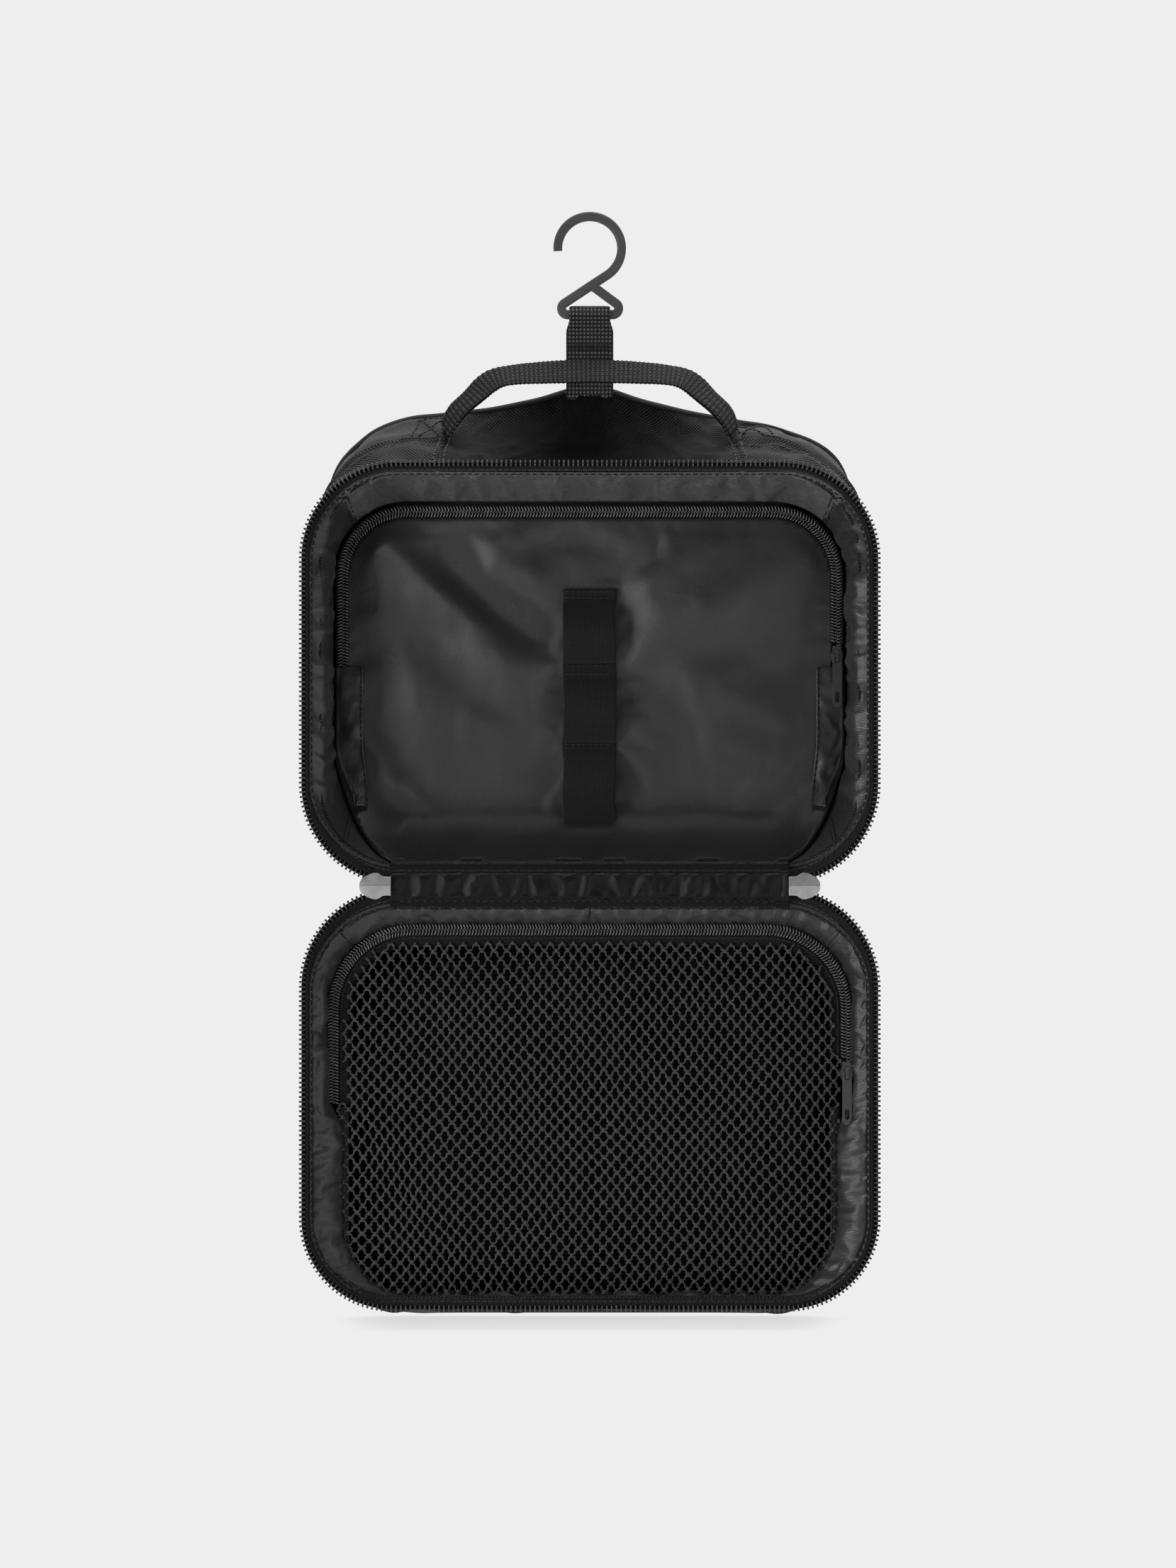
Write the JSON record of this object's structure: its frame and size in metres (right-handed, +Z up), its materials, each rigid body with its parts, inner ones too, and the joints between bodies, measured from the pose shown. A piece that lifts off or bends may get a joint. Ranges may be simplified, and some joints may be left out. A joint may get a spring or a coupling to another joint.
{
  "type": "hanging toiletry bag",
  "caption": "Soft zip-round wash bag that opens like a book and hangs from a folding hook, with a zipped lining pocket, a zipped net pocket, elastic loops and a carry handle.",
  "frame": {"origin": "centre of the hook's crook, on the axis of the rail it hangs from; the hinge line between the two halves is 258.7 mm below and 43 mm in front", "axes": "+Z up as the bag hangs open, +X to the right seen from the front, +Y into the bag away from the viewer, so both mouths face -Y"},
  "size_m": [0.23, 0.0491, 0.4475],
  "materials": {
    "shell_fabric": "coarse black polyester weave",
    "board": "foam-backed polyethylene board",
    "lining_fabric": "satin black polyester lining",
    "net_fabric": "open diamond-knit black net",
    "zip_tape": "fine-ribbed black zip tape",
    "zip_teeth": "moulded black nylon",
    "webbing": "black polypropylene webbing",
    "elastic": "ribbed black elastic",
    "hook_plastic": "fine-textured charcoal acetal",
    "nickel": "plated die-cast zinc",
    "black_metal": "black enamelled die-cast zinc"
  },
  "bodies": {
    "upper_half": {"upper_gusset": "shell_fabric", "upper_back_panel": "shell_fabric", "upper_stiffener_board": "board", "upper_lining": "lining_fabric", "upper_pocket_rear_sheet": "lining_fabric", "upper_zip_tape": "zip_tape", "upper_zip_chain": "zip_teeth", "upper_pocket_outer_tape": "zip_tape", "upper_pocket_outer_coil": "zip_teeth", "upper_pocket_front": "lining_fabric", "elastic_loop_strip": "elastic", "handle_anchor_left": "webbing", "handle_anchor_right": "webbing"},
    "lower_half": {"lower_gusset": "shell_fabric", "lower_back_panel": "shell_fabric", "lower_stiffener_board": "board", "lower_lining": "lining_fabric", "lower_lining_rear_sheet": "lining_fabric", "lower_zip_tape": "zip_tape", "lower_zip_chain": "zip_teeth", "mesh_pocket_outer_tape": "zip_tape", "mesh_pocket_outer_coil": "zip_teeth", "mesh_pocket_net": "net_fabric"},
    "spine": {"spine_outer": "shell_fabric", "spine_lining": "lining_fabric", "main_slider_left": "nickel", "main_slider_right": "nickel"},
    "left_main_puller": {"main_puller_left": "nickel"},
    "right_main_puller": {"main_puller_right": "nickel"},
    "handle": {"carry_handle": "webbing"},
    "strap": {"hanger_strap": "webbing"},
    "hook": {"hanging_hook": "hook_plastic"},
    "upper_flap": {"upper_pocket_flap": "lining_fabric", "upper_pocket_inner_tape": "zip_tape", "upper_pocket_inner_coil": "zip_teeth", "elastic_loop_top": "elastic"},
    "upper_slider": {"upper_pocket_slider": "black_metal"},
    "upper_puller": {"upper_pocket_puller": "black_metal"},
    "mesh_flap": {"mesh_flap_net": "net_fabric", "mesh_pocket_inner_tape": "zip_tape", "mesh_pocket_inner_coil": "zip_teeth"},
    "mesh_slider": {"mesh_pocket_slider": "black_metal"},
    "mesh_puller": {"mesh_pocket_puller": "black_metal"}
  },
  "joints": [
    {"name": "fold", "type": "hinge", "parent": "upper_half", "child": "lower_half", "pos_m": [0, -0.043, -0.2587], "axis": [-1, 0, 0], "range_deg": [0, 180]},
    {"name": "spine_turn", "type": "hinge", "parent": "upper_half", "child": "spine", "pos_m": [0, -0.043, -0.2587], "axis": [-1, 0, 0], "range_deg": [0, 90]},
    {"name": "left_puller_swing", "type": "hinge", "parent": "spine", "child": "left_main_puller", "pos_m": [-0.085, -0.03945, -0.2587], "axis": [0, 0, 1], "range_deg": [0, 150]},
    {"name": "right_puller_swing", "type": "hinge", "parent": "spine", "child": "right_main_puller", "pos_m": [0.085, -0.03945, -0.2587], "axis": [0, 0, -1], "range_deg": [0, 150]},
    {"name": "handle_flop", "type": "hinge", "parent": "upper_half", "child": "handle", "pos_m": [0, -0.0275, -0.0842], "axis": [1, 0, 0], "range_deg": [-5, 40], "stiffness_Nm_per_rad": 0.02},
    {"name": "strap_flop", "type": "hinge", "parent": "upper_half", "child": "strap", "pos_m": [0, 0, -0.0627], "axis": [-1, 0, 0], "range_deg": [0, 90]},
    {"name": "hook_swing", "type": "hinge", "parent": "strap", "child": "hook", "pos_m": [0, 0, -0.027], "axis": [1, 0, 0], "range_deg": [-80, 80]},
    {"name": "upper_pocket_open", "type": "hinge", "parent": "upper_half", "child": "upper_flap", "pos_m": [0, -0.0099, -0.1729], "axis": [-1, 0, 0], "range_deg": [-50, 0]},
    {"name": "upper_slider_run", "type": "slide", "parent": "upper_half", "child": "upper_slider", "axis": [0, 0, 1], "range_m": [0, 0.027]},
    {"name": "upper_puller_swing", "type": "hinge", "parent": "upper_slider", "child": "upper_puller", "pos_m": [0.1, -0.01325, -0.1666], "axis": [-1, 0, 0], "range_deg": [0, 150]},
    {"name": "mesh_pocket_open", "type": "hinge", "parent": "lower_half", "child": "mesh_flap", "pos_m": [0, -0.0299, -0.3472], "axis": [-1, 0, 0], "range_deg": [-60, 0]},
    {"name": "mesh_slider_run", "type": "slide", "parent": "lower_half", "child": "mesh_slider", "axis": [0, 0, 1], "range_m": [0, 0.019]},
    {"name": "mesh_puller_swing", "type": "hinge", "parent": "mesh_slider", "child": "mesh_puller", "pos_m": [0.1026, -0.03325, -0.3334], "axis": [-1, 0, 0], "range_deg": [0, 150]}
  ],
  "couplings": [
    {"joint": "spine_turn", "follows": "fold", "ratio": 0.5}
  ]
}
